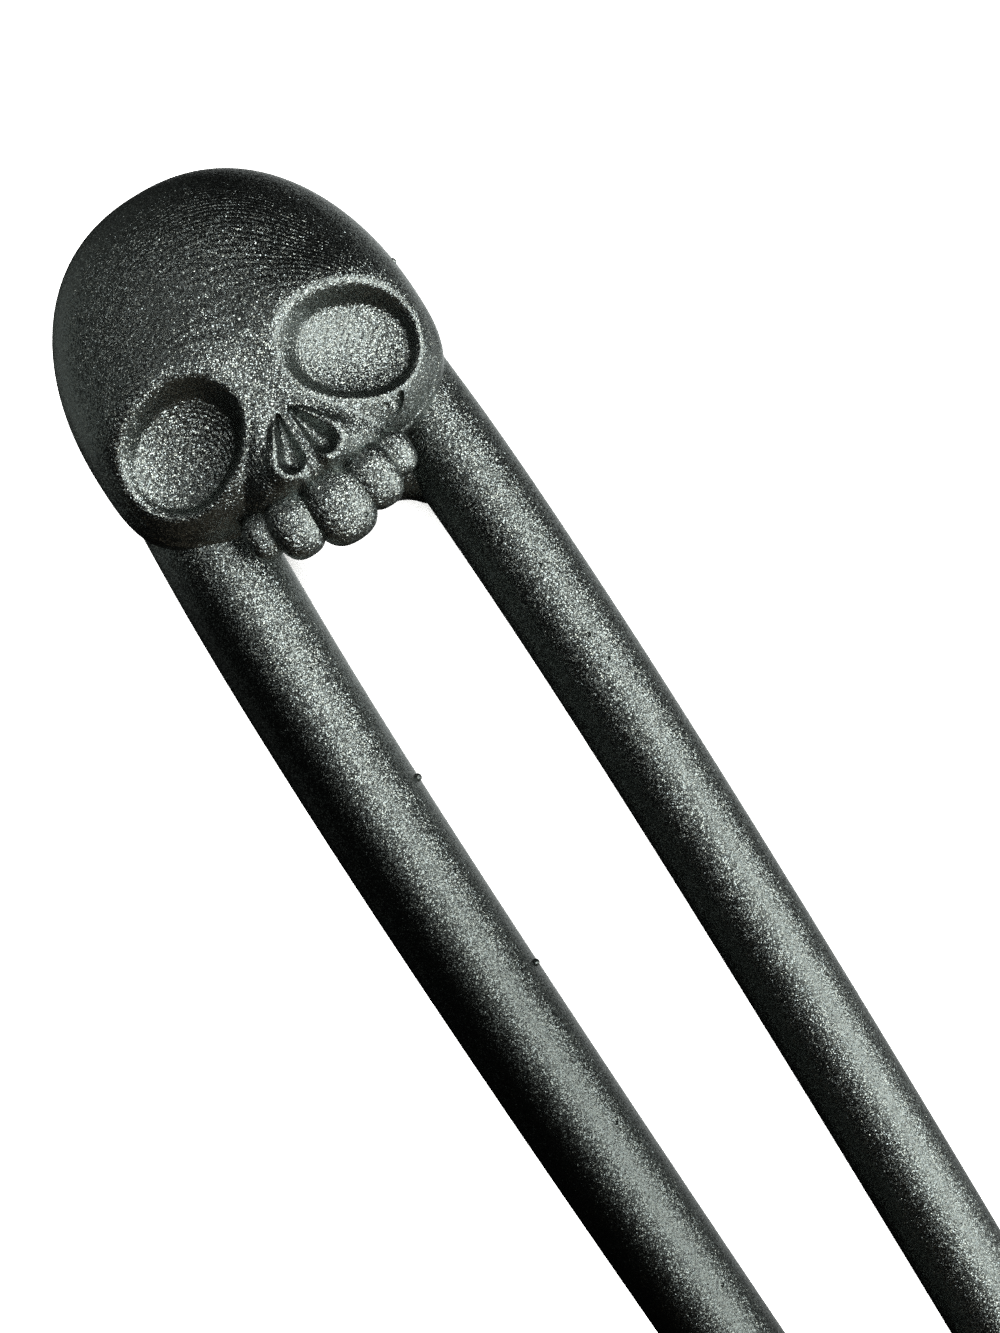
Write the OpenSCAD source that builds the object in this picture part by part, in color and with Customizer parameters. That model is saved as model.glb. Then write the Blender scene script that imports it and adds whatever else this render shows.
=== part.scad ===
// Hair fork with a skull head, moulded in one piece.
// It lies on its back: X runs across the prongs, +Y towards the crown, +Z out of the face.
// The origin is on the surface that it lies on, in the middle of its length and width.

/* [Fork] */
// Length over all, from the crown of the skull to the tips
fork_len = 127; // [112:1:142]
// Thickness of the left prong, as the face looks at you, where it leaves the head
left_prong_d = 7.7; // [6.4:0.1:8.2]
// Thickness of the right prong where it leaves the head
right_prong_d = 6.8; // [6.4:0.1:8.2]
// Thickness of a prong where its tip starts to round off
tip_d = 6.2; // [4.4:0.1:6.4]
// Length over which a tip rounds off
tip_round = 4.4; // [2.6:0.1:6]
// Distance between the middle lines of the prongs at their widest
prong_spacing = 18.2; // [16.6:0.1:20]
// Distance between the middle lines of the prongs at their tips
tip_spacing = 14; // [10:0.1:18]
// How far each prong leans in behind the cheek
lean = 0.8; // [0:0.1:1.6]
// How much further out the right prong starts, and further in it ends, than the left one
right_skew = 0.45; // [0:0.05:0.8]
// Radius of the inner corners where the prongs join behind the teeth
crotch_r = 1.7; // [1:0.1:2.4]
// Drop of the bridge between the prongs, from the cheeks to its lower edge
bridge_drop = 2.4; // [1.6:0.1:3]
// How much lower the bridge is at the right prong than in its middle
bridge_slant = 0.4; // [0:0.1:0.8]
// Clearance under the fork where it runs into the head
fork_lift = 0.4; // [0.2:0.05:0.8]

/* [Head] */
// Width of the skull across its temples
skull_w = 24.5; // [22.6:0.1:27]
// Height of the crown above the widest line of the face
crown_h = 15.5; // [14.5:0.1:17.5]
// Drop of the cheeks below the widest line of the face
cheek_drop = 7.8; // [7.2:0.1:8.6]
// Height of the skull's widest edge above its back
side_h = 6.2; // [5:0.1:7.5]
// Height of the face above that edge
face_h = 6.8; // [5.8:0.1:8.5]
// Width of the rounding round the flat back
back_round = 2.6; // [1.6:0.1:3.6]

/* [Eye sockets] */
// Distance between the middles of the two sockets
eye_spacing = 12.2; // [11.6:0.1:13]
// Width of a socket
eye_w = 8.9; // [8:0.1:9.4]
// Height of a socket
eye_h = 8.3; // [7:0.1:9]
// Depth of a socket below the face
eye_depth = 2.7; // [1.6:0.1:3.4]
// Drop of the sockets below the widest line of the face
eye_drop = 1.3; // [0.7:0.1:1.9]
// Height of the raised lip round a socket
lip_h = 0.35; // [0.1:0.05:0.6]

/* [Nose] */
// Length of a nostril
nostril_len = 3.9; // [3:0.1:4.4]
// Width of a nostril at its lower end
nostril_w = 1.7; // [1.3:0.05:2.1]
// Thickness of the wall between the nostrils
septum_w = 0.6; // [0.4:0.05:0.9]
// Depth of a nostril
nostril_depth = 1.5; // [0.8:0.1:2.2]
// Drop of the nostrils' upper ends below the widest line of the face
nose_drop = 2.7; // [2.3:0.1:3.1]

/* [Teeth] */
// Width of the middle tooth
tooth_w = 3.9; // [3:0.1:4.4]
// How far the middle tooth reaches below the cheeks
tooth_reach = 3.95; // [3:0.05:4.8]
// Height of the middle tooth's face above the back
tooth_face_h = 12.2; // [10.8:0.1:13]

/* [Hidden] */

// The head is laid out from the point on its middle line where it is widest
head_y = fork_len / 2 - crown_h;
cheek_y = head_y - cheek_drop;

// Mesh steps: round the head, up its side and over its face, and round and along the fork
head_sides = 88;
side_steps = 4;
face_steps = 34;
fork_sides = 24;
prong_steps = 13;
tip_steps = 5;
bend_steps = 5;
tooth_fn = 18;

// Bluntness of the head's curves: 2 is an ellipse, and more is squarer
crown_blunt = 2.22;
cheek_blunt = 3;
back_blunt = 2.4;
dome_blunt_crown = 2.3;
dome_blunt_cheek = 3.6;
socket_blunt = 2.4;

// A socket's tilt in degrees, and its form as shares of its own size
socket_tilt = 7;
socket_egg = 0.09;
socket_wall = 0.34;
socket_dish = 0.22;
socket_splay = 0.07;

// The lip round a socket: its place and width as shares of the socket, and how much
// higher it stands where it makes the brow
lip_place = 1.13;
lip_width = 0.19;
brow_share = 0.6;
rim_fade = 0.08;

// The muzzle that carries the teeth, as shares of the head's own sizes
muzzle_rise = 0.14;
muzzle_w = 0.36;
muzzle_place = 0.86;
muzzle_h = 0.34;

// A nostril's upper end is this share of its lower end's width
nostril_point = 0.16;

// How far above the cheeks' lower edge the gum lies, as a share of the middle tooth's width
gum_line = 0.2;

// Teeth from the middle outwards, the same on each side. A tooth's place, width and
// set-back are shares of the middle tooth's width, and its reach is a share of the
// middle tooth's reach.
PLACE = 0;
WIDTH = 1;
REACH = 2;
SET_BACK = 3;
tooth_rows = [[0, 1, 1, 0],
              [0.82, 0.61, 0.84, 0.13],
              [1.36, 0.42, 0.47, 0.38]];

// The fork: how soon the lean behind the cheeks fades and how late a prong tapers, how far
// a prong runs up into the head, and the bridge's thickness as a share of a prong's
lean_fade = 8;
taper_late = 1.7;
prong_root = 0.55;
bridge_share = 0.86;

function mix(a, b, t) = a + (b - a) * t;
function eased(t) = let (c = max(0, min(1, t))) c * c * (3 - 2 * c);
function bell(t) = exp(-t * t);

// Point of a blunt quarter curve at an angle: [share outwards, share upwards]
function blunt_curve(angle, n) =
    let (size = pow(pow(cos(angle), n) + pow(sin(angle), n), 1 / n))
    [cos(angle) / size, sin(angle) / size];

// Closed surface through rings of equal length, with a point in the middle of each end
module ringed_solid(rings, first_mid, last_mid) {
    sides = len(rings[0]);
    last = (len(rings) - 1) * sides;
    mid = len(rings) * sides;
    skin = [for (j = [0 : len(rings) - 2], i = [0 : sides - 1])
        let (k = (i + 1) % sides, a = j * sides + i, b = j * sides + k)
        each [[a, a + sides, b + sides], [a, b + sides, b]]];
    first_cap = [for (i = [0 : sides - 1]) [mid, i, (i + 1) % sides]];
    last_cap = [for (i = [0 : sides - 1]) [mid + 1, last + (i + 1) % sides, last + i]];
    polyhedron(
        points = concat([for (ring = rings) each ring], [first_mid, last_mid]),
        faces = concat(skin, first_cap, last_cap),
        convexity = 6);
}

// Distance from the head's origin to the skull's outline
function outline_r(angle) =
    let (up = sin(angle) > 0,
         n = up ? crown_blunt : cheek_blunt,
         reach = up ? crown_h : cheek_drop)
    pow(pow(abs(cos(angle)) / (skull_w / 2), n) + pow(abs(sin(angle)) / reach, n), -1 / n);

// How square the face is in a direction: rounder towards the crown
function dome_blunt(angle) =
    mix(dome_blunt_cheek, dome_blunt_crown, eased((sin(angle) + 0.1) / 0.9));

// Eye socket: 0 at its middle, 1 at its edge
function socket_q(x, y) =
    let (out = abs(x) - eye_spacing / 2,
         up = y + eye_drop,
         u = out * cos(socket_tilt) - up * sin(socket_tilt),
         v = out * sin(socket_tilt) + up * cos(socket_tilt),
         half_w = eye_w / 2,
         half_h = eye_h / 2 * (1 + socket_egg * u / half_w))
    pow(pow(abs(u) / half_w, socket_blunt) + pow(abs(v) / half_h, socket_blunt), 1 / socket_blunt);

function socket_floor(x, q) =
    side_h + face_h - eye_depth - socket_splay * (abs(x) - eye_spacing / 2)
    + socket_dish * eye_depth * min(1, q * q);

function lip_rise(y, q) =
    lip_h * bell((q - lip_place) / lip_width) * (1 + brow_share * eased((y + eye_drop) / eye_h * 2));

// Nostril: 0 on its middle line, 1 at its edge
function nostril_q(x, y) =
    let (low_r = nostril_w / 2,
         top_r = low_r * nostril_point,
         top = [septum_w / 2 + top_r, -nose_drop - top_r],
         low = [septum_w / 2 + low_r, -nose_drop - nostril_len + low_r],
         run = low - top,
         p = [abs(x), y] - top,
         share = max(0, min(1, (p * run) / (run * run))))
    norm(p - run * share) / mix(top_r, low_r, share);

function muzzle(x, y) =
    muzzle_rise * face_h * bell(x / (muzzle_w * skull_w / 2))
    * bell((y + muzzle_place * cheek_drop) / (muzzle_h * cheek_drop));

// Height of the face, given the plain dome's height there. keep is 0 at the outline,
// where the raised features fade out.
function face_z(x, y, dome_z, keep) =
    let (q = socket_q(x, y),
         nose = nostril_q(x, y),
         full = dome_z + keep * (muzzle(x, y) + lip_rise(y, q)),
         sunk = eased((1 - q) / socket_wall),
         open = mix(full, min(full, socket_floor(x, q)), sunk))
    open - nostril_depth * (nose < 1 ? eased(1 - nose * nose) : 0);

// Rings of the head, up its side and then over its face to the middle
function side_ring(step) =
    let (curve = blunt_curve(90 * (side_steps - step) / side_steps, back_blunt))
    [for (i = [0 : head_sides - 1])
        let (angle = 360 * i / head_sides,
             r = outline_r(angle) - back_round * (1 - curve[0]))
        [r * cos(angle), r * sin(angle), side_h * (1 - curve[1])]];

function face_ring(step) =
    [for (i = [0 : head_sides - 1])
        let (angle = 360 * i / head_sides,
             curve = blunt_curve(90 * step / face_steps, dome_blunt(angle)),
             x = outline_r(angle) * curve[0] * cos(angle),
             y = outline_r(angle) * curve[0] * sin(angle),
             keep = eased((1 - curve[0]) / rim_fade))
        [x, y, face_z(x, y, side_h + face_h * curve[1], keep)]];

module skull() {
    rings = concat(
        [for (step = [0 : side_steps - 1]) side_ring(step)],
        [for (step = [0 : face_steps - 1]) face_ring(step)]);
    color("dimgray")
        translate([0, head_y, 0])
            ringed_solid(rings, [0, 0, 0], [0, 0, face_z(0, 0, side_h + face_h, 1)]);
}

// A station of a round bar: the middle of its ring, the bar's heading there, which turns
// from +X towards -Y, and the bar's radius
MID = 0;
HEADING = 1;
RADIUS = 2;

function station_ring(s) =
    let (across = [sin(s[HEADING]), cos(s[HEADING]), 0])
    [for (i = [0 : fork_sides - 1])
        let (angle = 360 * i / fork_sides)
        s[MID] + s[RADIUS] * (cos(angle) * across + sin(angle) * [0, 0, 1])];

module round_bar(stations, end) {
    color("dimgray")
        ringed_solid([for (s = stations) station_ring(s)], stations[0][MID], end);
}

// A prong's side is -1 on the left and 1 on the right. Its share is 0 at the lower edge of
// the cheeks, 1 at the tip, and less than 0 inside the head.
prong_run = cheek_y + fork_len / 2;
root_share = -prong_root * cheek_drop / prong_run;
round_share = 1 - tip_round / prong_run;

function prong_d(side) = side < 0 ? left_prong_d : right_prong_d;
function prong_r(side, share) =
    mix(prong_d(side), tip_d, pow(max(0, min(round_share, share)), taper_late)) / 2;
function prong_x(side, share) =
    mix(prong_spacing, tip_spacing, max(0, share) * share) / 2
    - lean * pow(1 - share, lean_fade)
    + max(0, side) * right_skew * (1 - 2 * share);
function lift(side, share) =
    fork_lift * (1 - eased(share * prong_run / (2 * prong_d(side))));
function prong_mid(side, share) =
    [side * prong_x(side, share), cheek_y - share * prong_run, prong_r(side, share) + lift(side, share)];

module prong(side) {
    shaft = [for (i = [0 : prong_steps])
        let (share = mix(root_share, round_share, i / prong_steps))
        [prong_mid(side, share), 90, prong_r(side, share)]];
    tip = [for (i = [1 : tip_steps])
        let (angle = 90 * i / (tip_steps + 0.6),
             share = mix(round_share, 1, sin(angle)))
        [prong_mid(side, share), 90, prong_r(side, share) * cos(angle)]];
    round_bar(concat(shaft, tip), prong_mid(side, 1));
}

// The bridge joins the prongs behind the teeth. It is thinner than they are, so that its
// ends run into them.
module bridge() {
    d = min(left_prong_d, right_prong_d);
    r = d / 2 * bridge_share;
    turn_r = crotch_r + r;
    turn_x = prong_x(-1, 0) - turn_r;
    top_y = cheek_y - bridge_drop + r;
    right_half = [for (i = [0 : bend_steps])
        let (angle = 90 * i / bend_steps)
        [turn_x + turn_r * sin(angle), top_y - turn_r * (1 - cos(angle)), angle]];
    left_half = [for (i = [bend_steps : -1 : 0])
        let (p = right_half[i])
        [-p[0], p[1], -p[2]]];
    stations = [for (p = concat(left_half, right_half))
        [[p[0], p[1] - bridge_slant * p[0] / turn_x, d / 2 + fork_lift], p[2], r]];
    round_bar(stations, stations[len(stations) - 1][MID]);
}

// A tooth is a rounded peg through three balls: its low end, its neck at the gum, and its
// root inside the jaw. A ball's drop below the gum, its depth and its size are shares of
// the tooth's own width.
DROP = 0;
DEPTH = 1;
SIZE = 2;
neck_ball = [0.5, 0.08, 0.96];
root_ball = [0.4, 0.7, 0.8];

module tooth(row) {
    w = tooth_w * row[WIDTH];
    z = tooth_face_h - tooth_w * row[SET_BACK] - w / 2;
    low_y = cheek_y - tooth_reach * row[REACH] + w / 2;
    gum_y = cheek_y + gum_line * tooth_w;
    color("dimgray")
        translate([tooth_w * row[PLACE], 0, z])
            hull() {
                translate([0, low_y, 0])
                    sphere(d = w, $fn = tooth_fn);
                for (ball = [neck_ball, root_ball])
                    translate([0, gum_y - w * ball[DROP], -w * ball[DEPTH]])
                        sphere(d = w * ball[SIZE], $fn = tooth_fn);
            }
}

module teeth() {
    tooth(tooth_rows[0]);
    for (i = [1 : len(tooth_rows) - 1]) {
        tooth(tooth_rows[i]);
        mirror([1, 0, 0]) tooth(tooth_rows[i]);
    }
}

// The whole fork is one casting, so its pieces are fused
module hair_fork() {
    union() {
        skull();
        prong(-1);
        prong(1);
        bridge();
        teeth();
    }
}

hair_fork();
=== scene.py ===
import math

import bmesh
import bpy
import numpy as np
from mathutils import Matrix, Vector


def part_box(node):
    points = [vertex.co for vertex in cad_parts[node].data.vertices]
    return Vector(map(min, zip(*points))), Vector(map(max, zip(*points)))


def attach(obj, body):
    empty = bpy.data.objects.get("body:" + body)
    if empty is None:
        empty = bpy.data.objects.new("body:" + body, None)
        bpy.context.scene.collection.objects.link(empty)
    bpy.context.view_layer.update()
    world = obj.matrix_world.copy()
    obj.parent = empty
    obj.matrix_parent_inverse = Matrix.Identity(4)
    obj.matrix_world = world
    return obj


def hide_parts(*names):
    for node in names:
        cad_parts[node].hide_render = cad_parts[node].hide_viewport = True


mm = 0.001


# Small helpers

def linearColour(hexCode):
    channels = [int(hexCode[i:i + 2], 16) / 255 for i in (1, 3, 5)]
    return [c / 12.92 if c <= 0.04045 else ((c + 0.055) / 1.055) ** 2.4 for c in channels] + [1.0]


def addNode(tree, kind, settings=None, links=None):
    # settings: node properties, or the values of named or numbered sockets; links: socket to output
    node = tree.nodes.new(kind)
    for key, value in (settings or {}).items():
        if isinstance(key, str) and hasattr(node, key):
            setattr(node, key, value)
        else:
            node.inputs[key].default_value = value
    for key, output in (links or {}).items():
        tree.links.new(output, node.inputs[key])
    return node


def mix(a, b, t):
    return a + (b - a) * t


def eased(t):
    c = np.clip(t, 0, 1)
    return c * c * (3 - 2 * c)


def fade(value, span):  # 0 at the span's start, 1 at its end
    start, end = span
    return eased((value - start) / (end - start))


def bell(t):
    return np.exp(-t * t)


def softAbove(t, rounding):  # t where it is above zero, else zero, with a rounded corner
    return (t + np.sqrt(t * t + rounding ** 2)) / 2


def bluntCurve(angle, n):  # quarter curve: share outwards, share upwards
    size = (np.cos(angle) ** n + np.sin(angle) ** n) ** (1 / n)
    return np.cos(angle) / size, np.sin(angle) / size


def newObject(name, mesh):
    piece = bpy.data.objects.new(name, mesh)
    bpy.context.scene.collection.objects.link(piece)
    return piece


def evaluatedMesh(piece):  # the piece's mesh with its modifiers applied
    graph = bpy.context.evaluated_depsgraph_get()
    return bpy.data.meshes.new_from_object(piece.evaluated_get(graph))


def dropObject(piece):
    bpy.data.objects.remove(piece)


print("Stage 1: load the packed fork")
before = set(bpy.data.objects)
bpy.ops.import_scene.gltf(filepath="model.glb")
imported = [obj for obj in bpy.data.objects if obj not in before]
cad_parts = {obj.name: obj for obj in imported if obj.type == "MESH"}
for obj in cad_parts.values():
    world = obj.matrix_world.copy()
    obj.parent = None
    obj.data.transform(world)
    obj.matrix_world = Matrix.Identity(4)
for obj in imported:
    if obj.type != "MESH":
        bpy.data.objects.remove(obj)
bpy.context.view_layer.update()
forkLow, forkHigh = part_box("hair_fork")
forkLength = (forkHigh[1] - forkLow[1]) / mm


# Skull: one height map over a blunt egg outline, in millimetres from the skull's widest line.
# A "blunt" value is the power of a curve: 2 is round, more is squarer
skull = {
    "width": 24.5,
    "crownHeight": 15.5,
    "cheekDrop": 7.95,
    "sideHeight": 6.2,
    "faceHeight": 6.8,
    "backRound": 2.6,
    "crownBlunt": 2.22,
    "cheekBlunt": 3.0,
    "backBlunt": 2.4,
    "domeBluntCrown": 2.3,
    "domeBluntSide": 3.05,
    "domeBluntCheek": 2.6,
    "domeBluntMouth": 5.2,
    # where each of these fades in, as the sine of the angle below the widest line
    "cheekSpan": (0, 0.6),
    "mouthSpan": (0.76, 0.96),
    "crownSpan": (0.1, -0.8),
    "muzzleRise": 0.85,
    "muzzleWidth": 4.2,
    "muzzlePlace": -7.3,
    "muzzleHeight": 2.0,
    "rootDrop": 7.8,      # where the prongs leave the head
    "faceLean": 0.11,     # slope of the face below the brow, sinking towards the teeth
    "leanFrom": 2.5,
    "leanRound": 0.1,
    "edgeShare": 0.05,    # outer share of the face where its reliefs die out
    "faceCells": 230,
    "rowBlunt": 2.8,      # of the curve along which the rows of cells are spread evenly
    "rowSteps": 600,
    "sideRings": 9,
}

eyes = {
    "spacing": 12.6,
    "width": 8.95,
    "height": 7.05,
    "depth": 2.55,
    "drop": 1.12,
    "blunt": 2.2,
    "tilt": 24,           # degrees
    "egg": 0.07,
    "wallLow": 0.13,      # width of the wall, as a share of the socket
    "wallBrow": 0.1,      # how much wider it gets under the brow
    "wallTurn": 0.6,      # and how quickly, from the lower side round to the upper
    "wallRound": 0.12,
    "dish": 0.8,
    "dishPower": 2.2,
    "splay": 0.17,        # slope of the floor, sinking towards the temple
    "sink": 0.07,         # and towards the cheek
    "slant": 0.05,        # and towards the right in both
    "lipRise": 0.26,
    "lipPlace": 1.08,     # where the lip's crest lies, as a share of the socket
    "lipInside": 0.09,
    "lipOutside": 0.63,
    "browShare": 0.7,     # how much the lip rises more under the brow
    "browPlace": 0.12,    # how much further out it lies there
    "browInside": 0.14,   # and how much softer its inner side is
    "bridgeShare": 0.8,   # how far the lip dies out between the sockets
    "bridgeWidth": 3.0,
}

nose = {
    "drop": 2.65,
    "length": 3.85,
    "width": 1.86,
    "septum": 0.5,
    "shift": 0.25,             # the nose sits a little right of the middle
    "point": 0.2,
    "depth": 0.8,
    "round": 2.6,
    "reach": 1.6,
    "grooveRound": 0.04,
    "rimRise": 0.4,
    "rimPlace": 1.36,
    "rimWidth": 0.62,
    "rimTop": (0.1, -0.7),     # the rims fade in down from the top of the nose
    "rimInner": (0.35, 1.15),  # and out from the mid-line
}

headY = forkLength / 2 - skull["crownHeight"]  # the skull's widest line
cheekY = headY - skull["rootDrop"]


def outlineRadius(angle):
    up = np.sin(angle) > 0
    n = np.where(up, skull["crownBlunt"], skull["cheekBlunt"])
    reach = np.where(up, skull["crownHeight"], skull["cheekDrop"])
    across = np.abs(np.cos(angle)) / (skull["width"] / 2)
    along = np.abs(np.sin(angle)) / reach
    return (across ** n + along ** n) ** (-1 / n)


def domeBlunt(angle):
    down = -np.sin(angle)
    low = mix(skull["domeBluntSide"], skull["domeBluntCheek"], fade(down, skull["cheekSpan"]))
    low = mix(low, skull["domeBluntMouth"], fade(down, skull["mouthSpan"]))
    return mix(low, skull["domeBluntCrown"], fade(down, skull["crownSpan"]))


def softRamp(t, rounding):  # 0 to 1 in a straight slope with rounded ends
    return (np.sqrt(t * t + rounding ** 2) - np.sqrt((t - 1) ** 2 + rounding ** 2) + 1) / 2


def socketShare(x, y):  # 0 in the middle of a socket, 1 at its edge; and its wall's share there
    turn = math.radians(eyes["tilt"])
    out = np.abs(x) - eyes["spacing"] / 2
    up = y + eyes["drop"]
    u = out * math.cos(turn) - up * math.sin(turn)
    v = out * math.sin(turn) + up * math.cos(turn)
    u = u / (eyes["width"] / 2)
    v = v / (eyes["height"] / 2 * (1 + eyes["egg"] * u))
    n = eyes["blunt"]
    share = (np.abs(u) ** n + np.abs(v) ** n) ** (1 / n)
    upShare = up / (eyes["height"] / 2) / np.maximum(share, 0.1)
    return share, eyes["wallLow"] + eyes["wallBrow"] * eased(0.5 + eyes["wallTurn"] * upShare)


def nostrilShare(x, y):  # 0 on a nostril's middle line, 1 at its edge
    lowRadius = nose["width"] / 2
    topRadius = lowRadius * nose["point"]
    top = np.array([nose["septum"] / 2 + topRadius, -nose["drop"] - topRadius])
    low = np.array([nose["septum"] / 2 + lowRadius, -nose["drop"] - nose["length"] + lowRadius])
    run = low - top
    px, py = np.abs(x) - top[0], y - top[1]
    share = np.clip((px * run[0] + py * run[1]) / (run @ run), 0, 1)
    return np.hypot(px - run[0] * share, py - run[1] * share) / mix(topRadius, lowRadius, share)


def faceHeightAt(x, y, domeZ, keep):
    socket, wall = socketShare(x, y)
    nostril = nostrilShare(x - nose["shift"], y)
    muzzle = skull["muzzleRise"] * bell(x / skull["muzzleWidth"])
    muzzle = muzzle * bell((y - skull["muzzlePlace"]) / skull["muzzleHeight"])
    brow = eased((y + eyes["drop"]) / eyes["height"] * 2)
    crest = eyes["lipPlace"] + eyes["browPlace"] * brow
    lipInside = eyes["lipInside"] + eyes["browInside"] * brow
    lipWidth = np.where(socket < crest, lipInside, eyes["lipOutside"])
    lip = eyes["lipRise"] * bell((socket - crest) / lipWidth) * (1 + eyes["browShare"] * brow)
    lip = lip * (1 - eyes["bridgeShare"] * bell(x / eyes["bridgeWidth"]))
    rim = nose["rimRise"] * bell((nostril - nose["rimPlace"]) / nose["rimWidth"])
    rim = rim * fade(y + nose["drop"], nose["rimTop"]) * fade(np.abs(x), nose["rimInner"])
    sinking = softAbove(skull["faceLean"] * (skull["leanFrom"] - y), skull["leanRound"])
    full = domeZ + keep * (muzzle + lip + rim - sinking)
    bottom = skull["sideHeight"] + skull["faceHeight"] - eyes["depth"] - sinking
    bottom = bottom - eyes["splay"] * (np.abs(x) - eyes["spacing"] / 2)
    bottom = bottom - eyes["slant"] * (x - np.sign(x) * eyes["spacing"] / 2)
    bottom = bottom + eyes["sink"] * (y + eyes["drop"])
    bottom = bottom + eyes["dish"] * np.minimum(1, socket) ** eyes["dishPower"]
    sunk = softRamp((1 - socket) / wall, eyes["wallRound"])
    opened = mix(full, np.minimum(full, bottom), sunk)
    groove = 1 - np.minimum(nostril, nose["reach"]) ** nose["round"]
    groove = nose["depth"] * softAbove(groove, nose["grooveRound"])
    return opened - np.where(nostril < nose["reach"], groove, 0)


def rowTurn(share):  # the turn down the dome, spread evenly over its length, not its shadow
    turns = np.linspace(math.pi / 2, 0, skull["rowSteps"])
    reach, rise = bluntCurve(turns, skull["rowBlunt"])
    steps = np.hypot(np.diff(reach) * skull["width"] / 2, np.diff(rise) * skull["faceHeight"])
    length = np.concatenate([[0], np.cumsum(steps)])
    return np.interp(share, length / length[-1], turns)


def faceGrid():  # a square grid bent to the outline, so it has no pole and its cells stay alike
    line = np.linspace(-1, 1, skull["faceCells"] + 1)
    u, v = np.meshgrid(line, line, indexing="ij")
    wide = np.abs(u) >= np.abs(v)
    safeU, safeV = np.where(u == 0, 1, u), np.where(v == 0, 1, v)
    angle = np.where(wide, math.pi / 4 * v / safeU, math.pi / 2 - math.pi / 4 * u / safeV)
    radius = np.where(wide, u, v)
    angle = np.where(radius < 0, angle + math.pi, angle)
    reach, rise = bluntCurve(rowTurn(np.abs(radius)), domeBlunt(angle))
    edge = outlineRadius(angle)
    x, y = edge * reach * np.cos(angle), edge * reach * np.sin(angle)
    keep = eased((1 - reach) / skull["edgeShare"])
    z = faceHeightAt(x, y, skull["sideHeight"] + skull["faceHeight"] * rise, keep)
    return np.stack([x, y, z], -1).reshape(-1, 3), angle.reshape(-1)


def splitCells(cell, points):  # each along its shorter diagonal, so a steep wall gets no saw edge
    a, b, c, d = cell[:-1, :-1], cell[1:, :-1], cell[1:, 1:], cell[:-1, 1:]
    oneWay = np.linalg.norm(points[a] - points[c], axis=-1)
    otherWay = np.linalg.norm(points[b] - points[d], axis=-1)
    split = (oneWay <= otherWay)[..., None]
    first = np.where(split, np.stack([a, b, c], -1), np.stack([a, b, d], -1))
    second = np.where(split, np.stack([a, c, d], -1), np.stack([b, c, d], -1))
    return np.concatenate([first.reshape(-1, 3), second.reshape(-1, 3)]).tolist()


def makeSkullMesh():
    face, angle = faceGrid()
    n = skull["faceCells"] + 1
    cell = np.arange(n ** 2).reshape(n, n)
    points = [face]
    faces = splitCells(cell, face)

    # The side runs down from the face's border in rings, and the flat back closes it
    above = np.concatenate([cell[:-1, 0], cell[-1, :-1], cell[:0:-1, -1], cell[0, :0:-1]])
    borderAngle = angle[above]
    for ring in range(1, skull["sideRings"] + 1):
        reach, rise = bluntCurve(math.pi / 2 * ring / skull["sideRings"], skull["backBlunt"])
        r = outlineRadius(borderAngle) - skull["backRound"] * (1 - reach)
        z = np.full_like(r, skull["sideHeight"] * (1 - rise))
        below = sum(len(p) for p in points) + np.arange(len(above))
        points.append(np.stack([r * np.cos(borderAngle), r * np.sin(borderAngle), z], -1))
        faces += np.stack([above, below, np.roll(below, -1), np.roll(above, -1)], -1).tolist()
        above = below
    middle = sum(len(p) for p in points)
    points.append(np.zeros((1, 3)))
    faces += [[int(a), middle, int(b)] for a, b in zip(above, np.roll(above, -1))]
    allPoints = (np.concatenate(points) + [0, headY, 0]) * mm
    mesh = bpy.data.meshes.new("skullForm")
    mesh.from_pydata(allPoints.tolist(), [], faces)
    return mesh


# Round bars that follow a path: the two prongs, the bridge and the teeth, in millimetres
fork = {
    "leftThickness": 7.7,
    "rightThickness": 6.8,
    "tipThickness": 6.2,
    "tipRound": 4.4,
    "spacing": 18.2,
    "tipSpacing": 14.0,
    "lean": 0.8,
    "rightSkew": 0.45,
    "leanFade": 8,
    "taperLate": 1.7,
    "rootDepth": 4.3,
    "lift": 0.4,
    "crotchRadius": 1.7,
    "bridgeDrop": 1.92,
    "bridgeSlant": 0.71,
    "bridgeShare": 0.72,
    "bridgePaintedShade": 0.35,           # how much thinner its ends get
    "bridgeThinSpan": (0.55, 1),  # and over which share of its bends
    "bridgeRings": 17,
    "rings": 150,
    "tipRings": 16,
    "tipEnd": 0.995,              # a tip stops just short of its pole
    "sides": 56,
}


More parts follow.
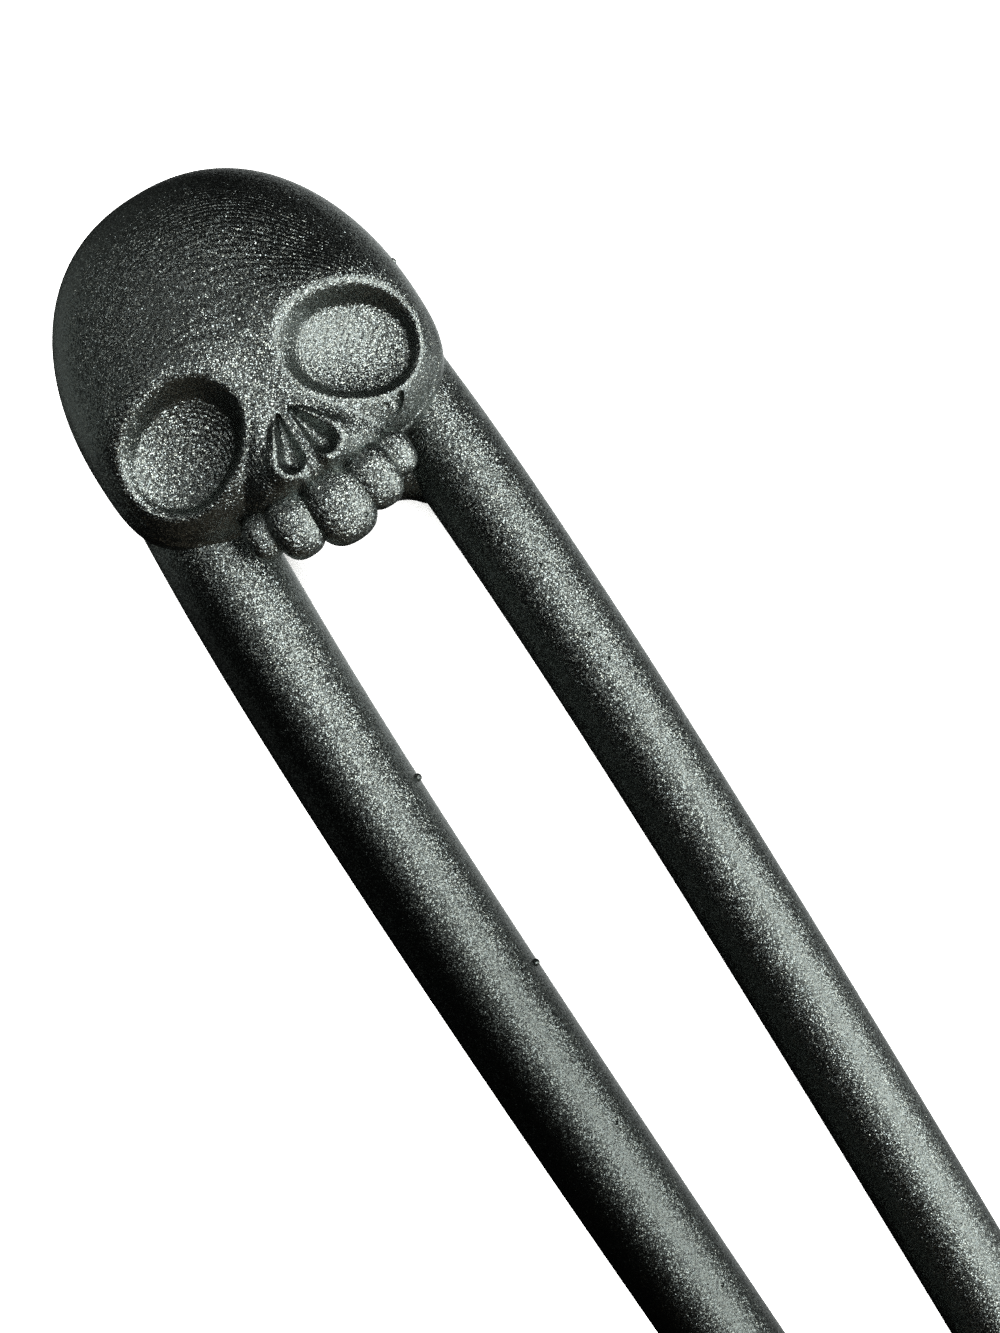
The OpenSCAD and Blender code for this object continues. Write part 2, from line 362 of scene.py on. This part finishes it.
def makeBarTree():
    tree = bpy.data.node_groups.new("roundBarAlongPath", "GeometryNodeTree")
    sockets = tree.interface
    sockets.new_socket("Geometry", in_out="INPUT", socket_type="NodeSocketGeometry")
    sockets.new_socket("Sides", in_out="INPUT", socket_type="NodeSocketInt")
    sockets.new_socket("Finish", in_out="INPUT", socket_type="NodeSocketMaterial")
    sockets.new_socket("Geometry", in_out="OUTPUT", socket_type="NodeSocketGeometry")
    given = addNode(tree, "NodeGroupInput")
    path = addNode(tree, "GeometryNodeMeshToCurve", links={"Mesh": given.outputs["Geometry"]})
    radius = addNode(tree, "GeometryNodeInputNamedAttribute",
                     {"data_type": "FLOAT", "Name": "barRadius"})
    ring = addNode(tree, "GeometryNodeCurvePrimitiveCircle", {"Radius": 1.0},
                   {"Resolution": given.outputs["Sides"]})
    bar = addNode(tree, "GeometryNodeCurveToMesh", {"Fill Caps": True},
                  {"Curve": path.outputs["Curve"], "Profile Curve": ring.outputs["Curve"],
                   "Scale": radius.outputs["Attribute"]})
    real = addNode(tree, "GeometryNodeRealizeInstances", links={"Geometry": bar.outputs["Mesh"]})
    finish = addNode(tree, "GeometryNodeSetMaterial",
                     links={"Geometry": real.outputs["Geometry"],
                            "Material": given.outputs["Finish"]})
    addNode(tree, "NodeGroupOutput", links={"Geometry": finish.outputs["Geometry"]})
    return tree


def treeResult(name, mesh, tree, values):
    source = newObject(name + "Source", mesh)
    modifier = source.modifiers.new("shape", "NODES")
    modifier.node_group = tree
    identifiers = {s.name: s.identifier for s in tree.interface.items_tree if s.in_out == "INPUT"}
    for key, value in values.items():
        modifier[identifiers[key]] = value
    result = evaluatedMesh(source)
    dropObject(source)
    return newObject(name, result)


def makeBar(name, path, radii, tree, sides, finish):
    # path: n x 3 millimetres; radii: n millimetres
    mesh = bpy.data.meshes.new(name + "Path")
    mesh.from_pydata((np.asarray(path) * mm).tolist(), [(i, i + 1) for i in range(len(path) - 1)], [])
    mesh.attributes.new("barRadius", "FLOAT", "POINT").data.foreach_set("value", np.asarray(radii) * mm)
    return treeResult(name, mesh, tree, {"Sides": sides, "Finish": finish})


def prongThickness(side):
    return fork["leftThickness"] if side < 0 else fork["rightThickness"]


def prongPath(side):
    run = cheekY + forkLength / 2
    rootShare, roundShare = -fork["rootDepth"] / run, 1 - fork["tipRound"] / run
    shaft = np.linspace(rootShare, roundShare, fork["rings"])
    turn = np.linspace(0, math.pi / 2, fork["tipRings"] + 1)[1:] * fork["tipEnd"]
    share = np.concatenate([shaft, mix(roundShare, 1, np.sin(turn))])
    squeeze = np.concatenate([np.ones_like(shaft), np.cos(turn)])
    late = np.clip(share, 0, roundShare) ** fork["taperLate"]
    radius = mix(prongThickness(side), fork["tipThickness"], late) / 2
    x = mix(fork["spacing"], fork["tipSpacing"], np.maximum(0, share) * share) / 2
    x = x - fork["lean"] * (1 - share) ** fork["leanFade"]
    x = x + max(0, side) * fork["rightSkew"] * (1 - 2 * share)
    lift = fork["lift"] * (1 - eased(share * run / (2 * prongThickness(side))))
    path = np.stack([side * x, cheekY - share * run, radius + lift], -1)
    return path, radius * squeeze


def bridgePath():
    thin = min(fork["leftThickness"], fork["rightThickness"])
    radius = thin / 2 * fork["bridgeShare"]
    turnRadius = fork["crotchRadius"] + radius
    turnX = fork["spacing"] / 2 - fork["lean"] - turnRadius
    turn = np.linspace(0, math.pi / 2, fork["bridgeRings"])
    x = turnX + turnRadius * np.sin(turn)
    y = cheekY - fork["bridgeDrop"] + radius - turnRadius * (1 - np.cos(turn))
    shrink = 1 - fork["bridgePaintedShade"] * fade(turn / math.pi * 2, fork["bridgeThinSpan"])
    x, y = np.concatenate([-x[::-1], x]), np.concatenate([y[::-1], y])
    shrink = np.concatenate([shrink[::-1], shrink])
    y = y - fork["bridgeSlant"] * x / turnX
    path = np.stack([x, y, np.full_like(x, radius + fork["lift"])], -1)
    return path, radius * shrink


# Teeth: rounded bulbs in a tight row, the widest in the middle
teeth = {
    "faceHeight": 12.15,
    "blunt": 2.55,
    "lean": 0.17,
    "square": 2.9,         # bluntness of the section: 2 is round
    "flat": 0.78,          # depth from front to back as a share of the width
    "ends": (0.02, 0.98),  # a tooth stops just short of its poles
    "rings": 26,
    "sides": 30,
    # millimetres: place from the mid-line, width, top and low end from the skull's widest line,
    # and set-back
    "rows": {
        "middle": (0.1, 4.4, -6.65, -11.9, 0.0),
        "inner": (3.0, 3.3, -6.75, -11.15, 0.4),
        "outer": (5.0, 2.6, -6.7, -9.95, 1.5),
    },
}


def toothPath(across, width, top, low, setBack):
    turn = np.linspace(*teeth["ends"], teeth["rings"]) * math.pi
    along = -np.cos(turn)
    half = (top - low) / 2
    y = headY + (top + low) / 2 - along * half
    n = teeth["blunt"]
    radius = width / 2 * (1 - np.abs(along) ** n) ** (1 / n)
    z = teeth["faceHeight"] - setBack - width / 2 * teeth["flat"] - teeth["lean"] * (along + 1) * half
    return np.stack([np.full_like(y, across), y, z / teeth["flat"]], -1), radius


def shapeTooth(tooth, path):  # flattens the bar and squares its section
    points = np.empty(len(tooth.data.vertices) * 3)
    tooth.data.vertices.foreach_get("co", points)
    points = points.reshape(-1, 3)
    centre = np.interp(-points[:, 1], -path[:, 1] * mm, path[:, 2] * mm)
    across, deep = points[:, 0] - path[0, 0] * mm, points[:, 2] - centre
    n = teeth["square"]
    turn = np.arctan2(deep, across)
    grow = (np.abs(np.cos(turn)) ** n + np.abs(np.sin(turn)) ** n) ** (-1 / n)
    points[:, 0] = path[0, 0] * mm + across * grow
    points[:, 2] = (centre + deep * grow) * teeth["flat"]
    tooth.data.vertices.foreach_set("co", points.ravel())


# One casting: everything is fused, so no seam shows where the forms meet
sharpAngle = 40  # degrees; a sharper corner is shaded as an edge


def fuse(base, others, operation="UNION"):
    for other in others:
        modifier = base.modifiers.new(other.name, "BOOLEAN")
        modifier.object = other
        modifier.operation = operation
        modifier.solver = "MANIFOLD"
    mesh = evaluatedMesh(base)
    base.modifiers.clear()
    old = base.data
    base.data = mesh
    bpy.data.meshes.remove(old)
    for other in others:
        dropObject(other)


# Casting flaws: shallow pits, the chip under the right socket, and specks of flash on the edges
flaws = {
    # millimetres: across, along, radius, how far it sits above the surface as a share of its radius
    "pits": (
        (6.62, 41.82, 0.3, -0.3), (6.84, 42.02, 0.46, -0.3), (7.1, 42.26, 0.44, -0.3),
        (7.36, 42.5, 0.3, -0.3), (6.05, 42.3, 0.45, 0.6), (7.4, 40.98, 0.15, -0.2),
        (7.6, 41.0, 0.12, -0.2), (1.2, 37.06, 0.19, 0), (-7.19, 30.91, 0.15, 0),
        (-6.49, 14.58, 0.16, 0), (9.36, 28.47, 0.14, 0), (9.51, 22.82, 0.18, 0),
        (9.76, 20.76, 0.16, 0), (-6.58, -5.21, 0.17, 0), (-6.54, -18.02, 0.16, 0),
        (11.02, 2.07, 0.14, 0)),
    "flash": (
        (-5.2, 21.02, 0.3, 0.1), (-5.3, 6.33, 0.27, 0.1), (-12.25, 32.7, 0.3, -0.5),
        (-12.2, 33.4, 0.22, -0.5), (11.95, 50.41, 0.26, -0.4)),
    "fineness": 2,
    "searchFrom": 30,  # millimetres up
}


def makeFlaw(x, y, radius, above, target):
    start = Vector((x, y, flaws["searchFrom"])) * mm
    hit, spot, normal, _ = target.ray_cast(start, Vector((0, 0, -1)))
    if not hit:
        raise RuntimeError(f"no surface under the flaw at {x}, {y}")
    mesh = bpy.data.meshes.new("flaw")
    ball = bmesh.new()
    bmesh.ops.create_icosphere(ball, subdivisions=flaws["fineness"], radius=radius * mm)
    ball.to_mesh(mesh)
    ball.free()
    mesh.transform(Matrix.Translation(spot + normal * radius * above * mm))
    return newObject("flaw", mesh)


# Material: cast resin full of fine silver flakes
resin = {
    "dark": "#2b302d",
    "warmFlake": "#9b9f95",
    "coolFlake": "#95a0a0",
    "flakeSize": 0.058,        # millimetres across a flake
    "flakeLean": 0.25,         # how far the flakes lean from the surface, as a slope
    "flakeRoughness": 0.31,
    "coat": 0.16,
    "coatRoughness": 0.44,
    "layer": 0.12,             # millimetres; the real ones, half as far apart, are too fine to draw
    "layerDepth": 0.009,
    "layerDrift": 220.0,       # waves per metre in the lines
    "layerFlat": (0.6, 0.97),  # lines fade in where the surface faces up this much
    "layerLow": (8.3, 9.1),    # and lies this many millimetres up
    "prongFade": 4,            # painted shade in the prongs, not in the head: it fades in from above their roots to below
    "sideFade": 2,             # each prong has its own amount of painted shade, on its side of the mid-line
    "paintedShadeSpan": (32, 0),       # which goes from its first number to its second along this stretch
    "rightPaintedShade": (0.77, 0.63),
    "leftPaintedShade": (0.84, 0.38),
    "flank": (-11.2, -7.8),    # and more painted shade across the left prong's outer flank, away from the light,
    "flankShadeShare": 0.1,         # where this share of the rest is left
}


def linedNormal(tree, where, across, onSkull):
    # Faint level lines, as on a contour map, wherever the skull is nearly flat
    geometry = addNode(tree, "ShaderNodeNewGeometry")
    facing = addNode(tree, "ShaderNodeSeparateXYZ", links={"Vector": geometry.outputs["Normal"]})
    drift = addNode(tree, "ShaderNodeTexNoise", {"Scale": resin["layerDrift"], "Detail": 1.0},
                    {"Vector": where.outputs["Object"]})
    level = addNode(tree, "ShaderNodeMath",
                    {"operation": "MULTIPLY_ADD", 1: math.tau / (resin["layer"] * mm)},
                    {0: across.outputs["Z"], 2: drift.outputs["Fac"]})
    wave = addNode(tree, "ShaderNodeMath", {"operation": "SINE"}, {0: level.outputs["Value"]})
    low, high = resin["layerFlat"]
    flatness = addNode(tree, "ShaderNodeMapRange",
                       {"interpolation_type": "SMOOTHSTEP", "From Min": low, "From Max": high},
                       {"Value": facing.outputs["Z"]})
    shown = addNode(tree, "ShaderNodeMath", {"operation": "MULTIPLY"},
                    {0: onSkull.outputs["Result"], 1: flatness.outputs["Result"]})
    height = addNode(tree, "ShaderNodeMath", {"operation": "MULTIPLY"},
                     {0: wave.outputs["Value"], 1: shown.outputs["Value"]})
    lined = addNode(tree, "ShaderNodeBump", {"Strength": 1.0, "Distance": resin["layerDepth"] * mm},
                    {"Height": height.outputs["Value"]})
    return lined.outputs["Normal"]


def flakeNormal(tree, flakes, chance, normal):
    # Each flake leans in its own direction: most a little, a few a lot. The odds stay just above
    # zero, which has no logarithm
    odds = addNode(tree, "ShaderNodeMath", {"operation": "SUBTRACT", 0: 1.0001},
                   {1: chance.outputs["Value"]})
    depth = addNode(tree, "ShaderNodeMath", {"operation": "LOGARITHM", 1: math.e},
                    {0: odds.outputs["Value"]})
    spread = addNode(tree, "ShaderNodeMath", {"operation": "MULTIPLY", 1: -resin["flakeLean"] ** 2},
                     {0: depth.outputs["Value"]})
    slope = addNode(tree, "ShaderNodeMath", {"operation": "SQRT"}, {0: spread.outputs["Value"]})
    centred = addNode(tree, "ShaderNodeVectorMath", {"operation": "SUBTRACT", 1: (0.5, 0.5, 0.5)},
                      {0: flakes.outputs["Color"]})
    sideways = addNode(tree, "ShaderNodeVectorMath", {"operation": "CROSS_PRODUCT"},
                       {0: centred.outputs["Vector"], 1: normal})
    direction = addNode(tree, "ShaderNodeVectorMath", {"operation": "NORMALIZE"},
                        {0: sideways.outputs["Vector"]})
    lean = addNode(tree, "ShaderNodeVectorMath", {"operation": "SCALE"},
                   {0: direction.outputs["Vector"], "Scale": slope.outputs["Value"]})
    leaned = addNode(tree, "ShaderNodeVectorMath", {"operation": "ADD"},
                     {0: normal, 1: lean.outputs["Vector"]})
    whole = addNode(tree, "ShaderNodeVectorMath", {"operation": "NORMALIZE"},
                    {0: leaned.outputs["Vector"]})
    return whole.outputs["Vector"]


def paintedProngShade(tree, across, onSkull):
    # Painted shade: the flakes are dimmed in the prongs but not in the head, more down the prongs'
    # length, and most on the left prong's outer flank, away from the light
    rootFade, sideFade = resin["prongFade"], resin["sideFade"] * mm
    inProngs = addNode(tree, "ShaderNodeMapRange",
                       {"interpolation_type": "SMOOTHSTEP", "From Min": (cheekY + rootFade) * mm,
                        "From Max": (cheekY - rootFade) * mm}, {"Value": across.outputs["Y"]})
    shadeTop, shadeTip = resin["paintedShadeSpan"]
    along = {}
    for side in ("left", "right"):
        top, tip = resin[side + "PaintedShade"]
        along[side] = addNode(tree, "ShaderNodeMapRange",
                              {"interpolation_type": "SMOOTHSTEP", "From Min": shadeTop * mm,
                               "From Max": shadeTip * mm, "To Min": top, "To Max": tip},
                              {"Value": across.outputs["Y"]})
    outer, inner = resin["flank"]
    flank = addNode(tree, "ShaderNodeMapRange",
                    {"interpolation_type": "SMOOTHSTEP", "From Min": outer * mm,
                     "From Max": inner * mm, "To Min": resin["flankShadeShare"]},
                    {"Value": across.outputs["X"]})
    onLeft = addNode(tree, "ShaderNodeMath", {"operation": "MULTIPLY"},
                     {0: along["left"].outputs["Result"], 1: flank.outputs["Result"]})
    bySide = addNode(tree, "ShaderNodeMapRange",
                     {"interpolation_type": "SMOOTHSTEP", "From Min": -sideFade, "From Max": sideFade},
                     {"Value": across.outputs["X"], "To Min": onLeft.outputs["Value"],
                      "To Max": along["right"].outputs["Result"]})
    offSkull = addNode(tree, "ShaderNodeMath", {"operation": "SUBTRACT", 0: 1.0},
                       {1: onSkull.outputs["Result"]})
    # where the painted prong shade applies: in the prongs, off the skull
    thin = addNode(tree, "ShaderNodeMath", {"operation": "MULTIPLY"},
                   {0: inProngs.outputs["Result"], 1: offSkull.outputs["Value"]})
    share = addNode(tree, "ShaderNodeMix", {"data_type": "FLOAT", "A": 1.0},
                    {"Factor": thin.outputs["Value"], "B": bySide.outputs["Result"]})
    return share.outputs["Result"]


def makeResin():
    # Cast epoxy with silver mica powder: near black, with a hard sparkle where it mirrors the
    # light, dark where it doesn't, and a smooth grey veil of clear resin at grazing angles
    material = bpy.data.materials.new("castMicaResin")
    material.use_nodes = True
    tree = material.node_tree
    tree.nodes.clear()
    where = addNode(tree, "ShaderNodeTexCoord")
    across = addNode(tree, "ShaderNodeSeparateXYZ", links={"Vector": where.outputs["Object"]})
    low, high = resin["layerLow"]
    onSkull = addNode(tree, "ShaderNodeMapRange",
                      {"interpolation_type": "SMOOTHSTEP", "From Min": low * mm,
                       "From Max": high * mm}, {"Value": across.outputs["Z"]})
    flakes = addNode(tree, "ShaderNodeTexVoronoi", {"Scale": 1 / (resin["flakeSize"] * mm)},
                     {"Vector": where.outputs["Object"]})
    chance = addNode(tree, "ShaderNodeTexWhiteNoise", {"noise_dimensions": "3D"},
                     {"Vector": flakes.outputs["Position"]})
    normal = flakeNormal(tree, flakes, chance, linedNormal(tree, where, across, onSkull))

    shine = addNode(tree, "ShaderNodeSeparateColor", links={"Color": chance.outputs["Color"]})
    hue = addNode(tree, "ShaderNodeMix", {"data_type": "RGBA"}, {0: shine.outputs["Green"]})
    hue.inputs[6].default_value = linearColour(resin["warmFlake"])
    hue.inputs[7].default_value = linearColour(resin["coolFlake"])
    # each flake's brightness, times the painted shade on the prongs
    strength = addNode(tree, "ShaderNodeMath", {"operation": "MULTIPLY"},
                       {0: paintedProngShade(tree, across, onSkull), 1: shine.outputs["Red"]})
    colour = addNode(tree, "ShaderNodeMix", {"data_type": "RGBA"},
                     {0: strength.outputs["Value"], 7: hue.outputs[2]})
    colour.inputs[6].default_value = linearColour(resin["dark"])
    surface = addNode(tree, "ShaderNodeBsdfPrincipled",
                      {"Metallic": 1.0, "Roughness": resin["flakeRoughness"],
                       "Coat Weight": resin["coat"], "Coat Roughness": resin["coatRoughness"]},
                      {"Base Color": colour.outputs[2], "Normal": normal})
    addNode(tree, "ShaderNodeOutputMaterial", links={"Surface": surface.outputs["BSDF"]})
    return material


print("Stage 2: skull")
finish = makeResin()
casting = newObject("forkCasting", makeSkullMesh())

print("Stage 3: prongs, bridge and teeth along their paths")
barTree = makeBarTree()
bars = []
for side, name in ((-1, "leftProng"), (1, "rightProng")):
    bars.append(makeBar(name, *prongPath(side), barTree, fork["sides"], finish))
bars.append(makeBar("bridge", *bridgePath(), barTree, fork["sides"], finish))
for name, (across, width, top, low, setBack) in teeth["rows"].items():
    for side in ((1,) if name == "middle" else (-1, 1)):
        path, radii = toothPath(side * across, width, top, low, setBack)
        tooth = makeBar(f"{name}Tooth", path, radii, barTree, teeth["sides"], finish)
        shapeTooth(tooth, path)
        bars.append(tooth)

print("Stage 4: fuse the casting")
fuse(casting, bars)
fuse(casting, [makeFlaw(*flaw, casting) for flaw in flaws["pits"]], "DIFFERENCE")
fuse(casting, [makeFlaw(*flaw, casting) for flaw in flaws["flash"]])
casting.data.materials.clear()
casting.data.materials.append(finish)
casting.data.shade_smooth()
casting.data.set_sharp_from_angle(angle=math.radians(sharpAngle))
print("  triangles:", sum(len(p.vertices) - 2 for p in casting.data.polygons))
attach(casting, "root")
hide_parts("hair_fork")


# Floor, light and camera
floor = {
    "reach": 1.2,      # metres to where it starts to curve up
    "bend": 0.4,
    "wallTop": 1.1,
    "flatRing": 0.05,  # the flat part's outermost ring, which keeps its shading flat
    "sides": 64,
    "bendSteps": 12,
    "colour": "#eeeeec",
    "roughness": 0.9,
}

lights = {
    # aimed at Y mm, tilt towards +X and +Y in degrees, distance m, width m, length m, watts, colour
    "windowSoftbox": (20, 38, -20, 0.40, 0.29, 0.29, 2.2, "#ffffff"),
    "overheadCard": (20, 3, -14, 0.40, 0.20, 0.20, 0.22, "#ffffff"),
    "sideCard": (12, 55, 0, 0.60, 0.16, 0.20, 0.15, "#ffffff"),
    "lowSoftbox": (12, 82, -38, 0.60, 0.30, 0.30, 0.65, "#ffffff"),
    "crownCard": (12, -10, 34, 0.60, 0.16, 0.16, 0.34, "#ffffff"),
}

# A wide soft ceiling for the floor alone, so its shadows stay faint
ceiling = {"height": 0.7, "size": 1.6, "watts": 50.0, "colour": "#ffffff"}

# What the black resin mirrors low down: bright patches of a room round it, a warm dim one past the
# tips and darkness elsewhere; strength, where a patch lies, how wide it spreads (cosine at its edge)
darkness = ("#ffffff", 0.002)
room = {
    "bright": ("#f6fbfa", 0.6, (0.48, -0.84, -0.26), 0.78),
    "side": ("#f6fbfa", 0.9, (0.53, 0.1, -0.85), 0.74),
    "left": ("#eef6f2", 0.35, (-0.75, 0.55, -0.35), 0.8),
    "behind": ("#f0f6f2", 0.15, (-0.3, 0.95, -0.15), 0.78),
    "warm": ("#b5a48f", 0.38, (-0.3, -0.95, 0.1), 0.78),
}

view = {
    # millimetres: the point it looks at, from the skull's widest line on the mid-line
    "aim": (3.43, -23.75, 6.2),
    "distance": 128.3,
    "leanLeft": 4.1,   # degrees
    "roll": 33.0,
    "lens": 52.0,
    "sensor": 36,      # millimetres high
    "nearest": 10,
}


def place(holder, across, along, away, origin):
    matrix = Matrix.Identity(4)
    for column, vector in enumerate((across, along, away, origin)):
        matrix.col[column][:3] = vector
    holder.matrix_world = matrix
    bpy.context.scene.collection.objects.link(holder)


def makeBoard():
    # Matt painted board: even and pale
    board = bpy.data.materials.new("mattBoard")
    board.use_nodes = True
    surface = board.node_tree.nodes["Principled BSDF"]
    surface.inputs["Base Color"].default_value = linearColour(floor["colour"])
    surface.inputs["Roughness"].default_value = floor["roughness"]
    return board


def makeFloor():
    # A flat board that curves up into a wall far away, so no edge shows from the side
    turn = np.linspace(0, math.pi / 2, floor["bendSteps"] + 1)
    reach = floor["reach"] + floor["bend"] * np.sin(turn)
    reach = np.concatenate([[floor["reach"] - floor["flatRing"]], reach, reach[-1:]])
    rise = np.concatenate([[0], floor["bend"] * (1 - np.cos(turn)), [floor["wallTop"]]])
    n = floor["sides"]
    around = np.arange(n) / n * math.tau
    points = [np.stack([r * np.cos(around), r * np.sin(around), np.full(n, z)], -1)
              for r, z in zip(reach, rise)]
    first = np.arange(len(reach) - 1)[:, None] * n
    inner = (first + np.arange(n)).ravel()
    following = (first + np.roll(np.arange(n), -1)).ravel()
    quads = np.stack([inner, inner + n, following + n, following], -1).tolist()
    mesh = bpy.data.meshes.new("paleFloor")
    mesh.from_pydata(np.concatenate(points).tolist(), [], [list(range(n))] + quads)
    mesh.shade_smooth()
    mesh.materials.append(makeBoard())
    piece = newObject("paleFloor", mesh)
    piece.visible_glossy = False  # the black resin doesn't mirror the bright board


def makeLight(name, origin, away, size, watts, colour):
    lamp = bpy.data.lights.new(name, "AREA")
    lamp.shape = "RECTANGLE"
    lamp.size, lamp.size_y = size
    lamp.energy = watts
    lamp.color = linearColour(colour)[:3]
    holder = bpy.data.objects.new(name, lamp)
    across = Vector((0, 1, 0)).cross(away).normalized()
    place(holder, across, away.cross(across), away, origin)
    return holder


def makeLights():
    for name, (aimY, towardsX, towardsY, distance, width, length, watts, colour) in lights.items():
        middle = Vector((0, aimY, 0)) * mm
        a, b = math.radians(towardsX), math.radians(towardsY)
        away = Vector((math.sin(a) * math.cos(b), math.sin(b), math.cos(a) * math.cos(b)))
        box = makeLight(name, middle + away * distance, away, (width, length), watts, colour)
        box.visible_diffuse = False
    size = ceiling["size"]
    panel = makeLight("ceilingPanel", Vector((0, 0, ceiling["height"])), Vector((0, 0, 1)),
                      (size, size), ceiling["watts"], ceiling["colour"])
    panel.visible_glossy = False


def makeRoom():
    world = bpy.data.worlds.new("dimRoom")
    world.use_nodes = True
    tree = world.node_tree
    tree.nodes.clear()
    where = addNode(tree, "ShaderNodeTexCoord")
    colour, strength = darkness
    glow = addNode(tree, "ShaderNodeBackground", {"Color": linearColour(colour), "Strength": strength})
    total = glow.outputs["Background"]
    for colour, strength, direction, edge in room.values():
        towards = addNode(tree, "ShaderNodeVectorMath",
                          {"operation": "DOT_PRODUCT", 1: Vector(direction).normalized()},
                          {0: where.outputs["Generated"]})
        patch = addNode(tree, "ShaderNodeMapRange",
                        {"interpolation_type": "SMOOTHSTEP", "From Min": edge, "To Max": strength},
                        {"Value": towards.outputs["Value"]})
        light = addNode(tree, "ShaderNodeBackground", {"Color": linearColour(colour)},
                        {"Strength": patch.outputs["Result"]})
        both = addNode(tree, "ShaderNodeAddShader", links={0: total, 1: light.outputs["Background"]})
        total = both.outputs["Shader"]
    addNode(tree, "ShaderNodeOutputWorld", links={"Surface": total})
    world.cycles.sampling_method = "NONE"
    bpy.context.scene.world = world


def makeCamera():
    lean, roll = math.radians(view["leanLeft"]), math.radians(view["roll"])
    aim = (Vector((0, headY, 0)) + Vector(view["aim"])) * mm
    back = Vector((-math.sin(lean), 0, math.cos(lean)))
    right = Vector((0, 1, 0)).cross(back).normalized()
    up = back.cross(right)
    turnedRight = right * math.cos(roll) - up * math.sin(roll)
    turnedUp = right * math.sin(roll) + up * math.cos(roll)
    eye = aim + back * view["distance"] * mm
    camera = bpy.data.cameras.new("photoView")
    camera.sensor_fit = "VERTICAL"
    camera.sensor_height = view["sensor"]
    camera.lens = view["lens"]
    camera.clip_start = view["nearest"] * mm
    holder = bpy.data.objects.new("photoView", camera)
    place(holder, turnedRight, turnedUp, back, eye)
    bpy.context.scene.camera = holder


print("Stage 5: floor, light and camera")
makeFloor()
makeLights()
makeRoom()
makeCamera()
bpy.context.scene.view_settings.view_transform = "Standard"
bpy.context.scene.cycles.use_denoising = False
